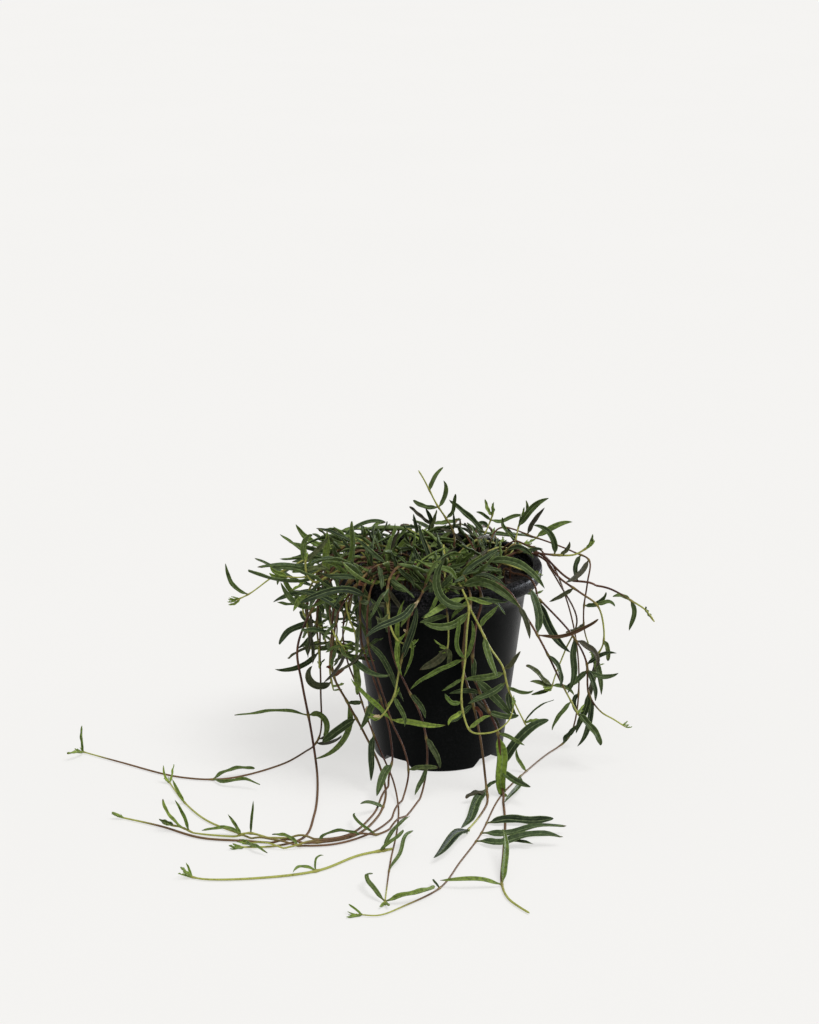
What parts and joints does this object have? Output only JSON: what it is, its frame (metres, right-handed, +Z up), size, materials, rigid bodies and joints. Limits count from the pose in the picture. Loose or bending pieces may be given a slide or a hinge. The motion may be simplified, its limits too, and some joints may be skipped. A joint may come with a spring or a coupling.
{
  "type": "potted trailing string of needles plant",
  "caption": "Trailing plant with narrow fleshy leaves on thin vines that spill from a round nursery pot, some hanging beside it and some running along the surface it stands on.",
  "frame": {"origin": "middle of the pot's underside, on the surface that it stands on", "axes": "+Z up along the pot's axis, -Y towards the plant's front, +X to the right seen from the front"},
  "size_m": [0.3719, 0.3548, 0.1799],
  "materials": {
    "pot_plastic": "moulded black plastic with a soft sheen",
    "potting_mix": "damp dark bark and fibre with a few pale bits",
    "foliage_dark": "waxy dark green leaves on purple-brown stems",
    "foliage_mid": "waxy mid green leaves on brown to green stems",
    "foliage_young": "waxy yellow-green young leaves and shoots"
  },
  "bodies": {
    "root": {"pot": "pot_plastic", "soil": "potting_mix", "vine_far_left_runner": "foliage_dark", "vine_left_fall": "foliage_dark", "vine_bundle_a": "foliage_dark", "vine_bundle_b": "foliage_dark", "vine_bundle_c": "foliage_mid", "vine_bundle_d": "foliage_mid", "vine_bundle_e": "foliage_mid", "vine_right_runner": "foliage_dark", "vine_right_front_fall": "foliage_dark", "vine_strap_fall": "foliage_mid", "vine_yellow_front": "foliage_young", "vine_cut_front": "foliage_mid", "vine_middle_fall": "foliage_dark", "vine_right_arch_a": "foliage_dark", "vine_right_arch_b": "foliage_dark", "vine_right_arch_c": "foliage_dark", "vine_thin_right": "foliage_dark", "vine_ring_right": "foliage_mid", "vine_red_right": "foliage_dark", "vine_thin_left": "foliage_young", "vine_yellow_left": "foliage_young", "vine_left_up": "foliage_mid", "vine_left_hang_a": "foliage_dark", "vine_left_hang_b": "foliage_dark", "vine_left_hang_c": "foliage_mid", "vine_top_sprig": "foliage_mid", "vine_top_right_sprig": "foliage_mid", "vine_top_back_sprig": "foliage_dark", "vine_right_low": "foliage_mid", "vine_fall_1": "foliage_mid", "vine_fall_2": "foliage_dark", "vine_fall_3": "foliage_dark", "vine_fall_4": "foliage_dark", "vine_fall_5": "foliage_mid", "vine_fall_6": "foliage_dark", "vine_fall_7": "foliage_dark", "vine_fall_8": "foliage_dark", "vine_fall_9": "foliage_mid", "vine_fall_10": "foliage_dark", "vine_fall_11": "foliage_dark", "vine_fall_12": "foliage_dark", "vine_fall_13": "foliage_mid", "vine_crown_1": "foliage_mid", "vine_crown_2": "foliage_dark", "vine_crown_3": "foliage_dark", "vine_crown_4": "foliage_mid", "vine_crown_5": "foliage_dark", "vine_crown_6": "foliage_dark", "vine_crown_7": "foliage_mid", "vine_crown_8": "foliage_dark", "vine_crown_9": "foliage_dark", "vine_crown_10": "foliage_mid"}
  },
  "joints": []
}
